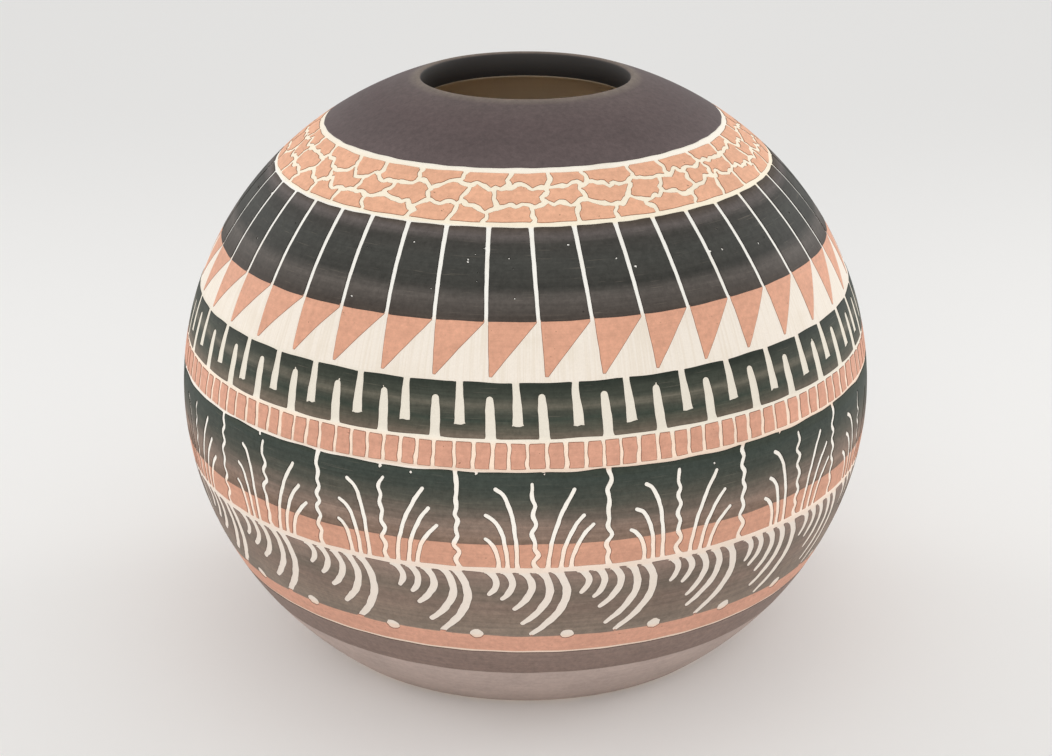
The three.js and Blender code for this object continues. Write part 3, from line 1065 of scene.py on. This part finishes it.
def clay():
    """Scraped cream clay with fine tool marks that run up and down, and a browner inside"""
    finish = Finish("fired_clay")
    hatch = finish.noise((0.55, 0.55, 22), roughness=0.6, place=finish.around())
    clouds = finish.noise((11, 11, 7), detail=3)
    grain = finish.noise((0.4, 0.4, 0.4), roughness=0.6)
    low, top = (float(height_of(along)) * MM for along in (TRIANGLE_LOW - 1, TRIANGLE_TOP))
    scraped = finish.math("MULTIPLY", finish.spread(finish.height, low - MM, low),
                          finish.spread(finish.height, top, top + MM, 1.0, 0.0))
    outside = finish.by_height(cut_stops())
    cloud = finish.math("MULTIPLY", finish.spread(clouds, *CLAY_CLOUD_LEVELS), CLAY_CLOUD_STRENGTH)
    outside = finish.mix(cloud, outside, CLAY_WARM)
    outside = finish.scaled(outside, grain, 0.15)
    marks = finish.math("MULTIPLY", finish.spread(hatch, *HATCH_LEVELS), scraped)
    outside = finish.mix(finish.math("MULTIPLY", marks, HATCH_STRENGTH), outside, CLAY_WARM)
    rings = finish.noise((60, 60, 1.4), detail=3)
    inside = finish.mix(rings, CLAY_INSIDE, CLAY_INSIDE_DARK)
    color = finish.mix(finish.attribute("inside"), outside, inside)
    rough = finish.math("ADD", finish.math("MULTIPLY", grain, CLAY_ROUGHNESS_RANGE), CLAY_ROUGHNESS)
    relief = finish.bump(finish.math("MULTIPLY", hatch, scraped), distance=0.08, strength=0.8)
    relief = finish.bump(grain, distance=0.05, strength=0.6, normal=relief)
    finish.shade(color, rough, CLAY_SPECULAR, relief)
    return finish.material


def salmon(name, low, top, tone, reach=WALL_REACH):
    stops = [(low, tone), (top, tone)]
    return slip(name, stops, streak=0.12, grit=0.8, specks=0.7, roughness=0.72, reach=reach)


# The pieces. The first number of an edge, or of a set of chips, is its seed.

wash_edge = wavy_edge(2, WASH_TOP)
stripe_edge = wavy_edge(5, LOWER_STRIPE_TOP)
upper_stripe_edge = wavy_edge(8, UPPER_STRIPE_TOP)
triangle_edge = wavy_edge(14, TRIANGLE_TOP, 0.07)


def overlapping(edge):
    return lambda angle: edge(angle) + OVERLAP_WIDTH


grass = grass_cuts()
dots = dot_cuts()
panel_chips = [
    *chips(51, count=40, low=122, top=141, size=0.25),
    *chips(54, count=8, low=124, top=136, size=0.2, middle=-6, reach=5),
]
grass_chips = [
    *chips(52, count=14, low=72, top=86, size=0.3),
    *chips(53, count=12, low=GRASS_TOP - 0.6, top=GRASS_TOP, size=0.5),
]

# Each piece's object, the node that it replaces, its slot and its material
pieces = [
    (clay_wall(), "clay_body", "clay", clay()),
    (
        shoulder_coat(wavy_edge(18, SHOULDER_LOW)),
        "shoulder_slip", "mauve_slip",
        slip("mauve_slip", [
            (SHOULDER_LOW, (95, 82, 81)),
            (168, (89, 76, 75)),
            (174, (91, 77, 76)),
            (182, (97, 84, 82)),
            # Lighter along the lip's top, partly wear and partly a painted highlight
            (184.4, (122, 110, 100)),
        ], streak=0.06, roughness=0.7, mouth_tone=MOUTH_SHADE),
    ),
    (
        coat("mosaic_coat", wavy_edge(16, MOSAIC_LOW), wavy_edge(17, MOSAIC_TOP), mosaic_cuts()),
        "mosaic_slip", "salmon_slip",
        salmon("mosaic_salmon", MOSAIC_LOW, MOSAIC_TOP, (233, 177, 144)),
    ),
    (
        coat("panel_coat", triangle_edge, wavy_edge(15, PANEL_TOP), panel_cuts() + panel_chips),
        "panel_slip", "black_slip",
        slip("black_slip", [
            (TRIANGLE_TOP, (73, 65, 59)),
            (122.7, (80, 74, 69)),
            # Painted sheen: a light band of highlight across the panels
            (125.2, (93, 87, 82)),
            (128.2, (62, 61, 57)),
            (134, (69, 69, 65)),
            (138.5, (67, 65, 61)),
            # Painted sheen: a second light band of highlight under the top of the panels
            (140.6, (98, 91, 88)),
            (PANEL_TOP, (80, 71, 63)),
        ], drift=0.9, scratches=0.25, specular=0.1),
    ),
    (
        coat("triangle_coat", wavy_edge(13, TRIANGLE_LOW, 0.05), overlapping(triangle_edge),
             triangle_cuts(), OVERLAP_INSET, WIDE_WALL_REACH),
        "triangle_slip", "salmon_slip",
        salmon("triangle_salmon", TRIANGLE_LOW, TRIANGLE_TOP, (218, 161, 133), WIDE_WALL_REACH),
    ),
    (
        coat("key_coat", wavy_edge(11, KEY_LOW), wavy_edge(12, KEY_TOP), key_cuts(), 0.0, WIDE_WALL_REACH),
        "key_slip", "green_black_slip",
        slip("green_black_slip", [
            (KEY_LOW, (116, 104, 91)),
            (96.2, (86, 83, 72)),
            (98.3, (62, 69, 60)),
            (99.7, (70, 72, 63)),
            # Painted sheen: a light band of highlight across the middle of the key band
            (101.4, (103, 99, 87)),
            (103.3, (68, 71, 62)),
            (KEY_TOP, (47, 53, 46)),
        ], streak=0.35, drift=1.8, scratches=0.25, specular=0.1, reach=WIDE_WALL_REACH),
    ),
    (
        coat("brick_coat", wavy_edge(9, BRICK_LOW), wavy_edge(10, BRICK_TOP), brick_cuts()),
        "brick_slip", "salmon_slip",
        salmon("brick_salmon", BRICK_LOW, BRICK_TOP, (214, 158, 133)),
    ),
    (
        coat("grass_coat", upper_stripe_edge, wavy_edge(21, GRASS_TOP, 0.16), grass + grass_chips),
        "grass_slip", "brown_black_slip",
        slip("brown_black_slip", [
            (UPPER_STRIPE_TOP, (126, 105, 91)),
            (72.5, (144, 123, 110)),
            (75.5, (112, 101, 91)),
            (78.5, (87, 85, 76)),
            (81.5, (69, 73, 66)),
            (84.5, (63, 70, 64)),
            (GRASS_TOP, (59, 65, 57)),
        ], streak=0.3, drift=3.0, scratches=0.3, specular=0.1),
    ),
    (
        coat("upper_stripe_coat", wavy_edge(7, UPPER_STRIPE_LOW),
             overlapping(upper_stripe_edge), grass, OVERLAP_INSET),
        "upper_stripe_slip", "salmon_slip",
        salmon("upper_stripe_salmon", UPPER_STRIPE_LOW, UPPER_STRIPE_TOP, (208, 154, 129)),
    ),
    (
        coat("feather_coat", stripe_edge, wavy_edge(6, FEATHER_TOP), feather_cuts() + dots, 0.0,
             WIDE_WALL_REACH),
        "feather_slip", "grey_brown_slip",
        slip("grey_brown_slip", [
            (LOWER_STRIPE_TOP, (131, 117, 104)),
            (47, (130, 113, 100)),
            (51, (128, 109, 97)),
            (55, (115, 102, 90)),
            (FEATHER_TOP, (143, 121, 109)),
        ], streak=0.35, mottle=0.35, drift=2.0, scratches=0.2, reach=WIDE_WALL_REACH),
    ),
    (
        coat("lower_stripe_coat", wavy_edge(4, LOWER_STRIPE_LOW), overlapping(stripe_edge),
             dots, OVERLAP_INSET),
        "lower_stripe_slip", "salmon_slip",
        salmon("lower_stripe_salmon", LOWER_STRIPE_LOW, LOWER_STRIPE_TOP, (212, 158, 135)),
    ),
    (
        coat("foot_band_coat", wash_edge, wavy_edge(3, FOOT_BAND_TOP)),
        "foot_band_slip", "dark_brown_slip",
        slip("dark_brown_slip", [(WASH_TOP, (130, 110, 101)), (FOOT_BAND_TOP, (134, 114, 105))]),
    ),
    (
        coat("base_wash_coat", wavy_edge(1, WASH_LOW), overlapping(wash_edge),
             sunk=OVERLAP_INSET),
        "base_wash", "taupe_wash",
        slip("taupe_wash", [(WASH_LOW, (178, 160, 151)), (WASH_TOP, (181, 163, 155))],
             streak=0.12, mottle=0.2, grit=0.6, roughness=0.78),
    ),
]

for piece, node, slot, material in pieces:
    piece.data.materials.append(material)
    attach(piece, "root")
    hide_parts(node)


# Floor, light and camera, in metres

FLOOR_HALF = 4.0
FLOOR_ROUGHNESS = 0.9
FLOOR_COLOR = paint(244, 243, 241)
WORLD_STRENGTH = 0.82

# Place, width, height and watts of each soft lamp: one in front, and a low one behind each side. Their
# narrow beams leave the floor even.
LAMPS = {
    "front_lamp": ((-0.2, -1.3, 0.5), 0.8, 0.8, 0.37),
    "left_lamp": ((-0.88, 0.47, 0.2), 0.5, 0.3, 0.2),
    "right_lamp": ((0.88, 0.47, 0.2), 0.5, 0.3, 0.25),
}
LAMP_SPREAD = math.radians(45)

CAMERA_PLACE = (0, -0.5045, 0.2599)
CAMERA_PITCH = 68.856
CAMERA_LENS = 70.07
CAMERA_SENSOR = 36
CAMERA_SHIFT = 0.0005
CAMERA_CLIP = (0.01, 20)


def make_floor():
    mesh = bpy.data.meshes.new("floor")
    corners = [(-1, -1), (1, -1), (1, 1), (-1, 1)]
    mesh.from_pydata([(FLOOR_HALF * x, FLOOR_HALF * y, 0) for x, y in corners], [], [(0, 1, 2, 3)])
    floor = add_object("floor", mesh)
    finish = Finish("floor_paper")
    finish.shader.inputs["Base Color"].default_value = FLOOR_COLOR
    finish.shader.inputs["Roughness"].default_value = FLOOR_ROUGHNESS
    mesh.materials.append(finish.material)


def make_light():
    world = bpy.data.worlds.new("studio")
    scene.world = world
    world.use_nodes = True
    background = world.node_tree.nodes["Background"]
    background.inputs["Color"].default_value = (1, 1, 1, 1)
    background.inputs["Strength"].default_value = WORLD_STRENGTH
    for name, (place, width, height, watts) in LAMPS.items():
        data = bpy.data.lights.new(name, "AREA")
        data.shape = "ELLIPSE"
        data.size = width
        data.size_y = height
        data.spread = LAMP_SPREAD
        data.energy = watts
        lamp = add_object(name, data)
        lamp.location = place
        aim = Vector((0, 0, BELLY_HEIGHT * MM)) - Vector(place)
        lamp.rotation_euler = aim.to_track_quat("-Z", "Y").to_euler()


def make_camera():
    data = bpy.data.cameras.new("camera")
    data.lens = CAMERA_LENS
    data.sensor_width = CAMERA_SENSOR
    data.shift_x = CAMERA_SHIFT
    data.clip_start, data.clip_end = CAMERA_CLIP
    camera = add_object("camera", data)
    camera.location = CAMERA_PLACE
    camera.rotation_euler = (math.radians(CAMERA_PITCH), 0, 0)
    scene.camera = camera


make_floor()
make_light()
make_camera()
bpy.context.scene.view_settings.view_transform = "Standard"
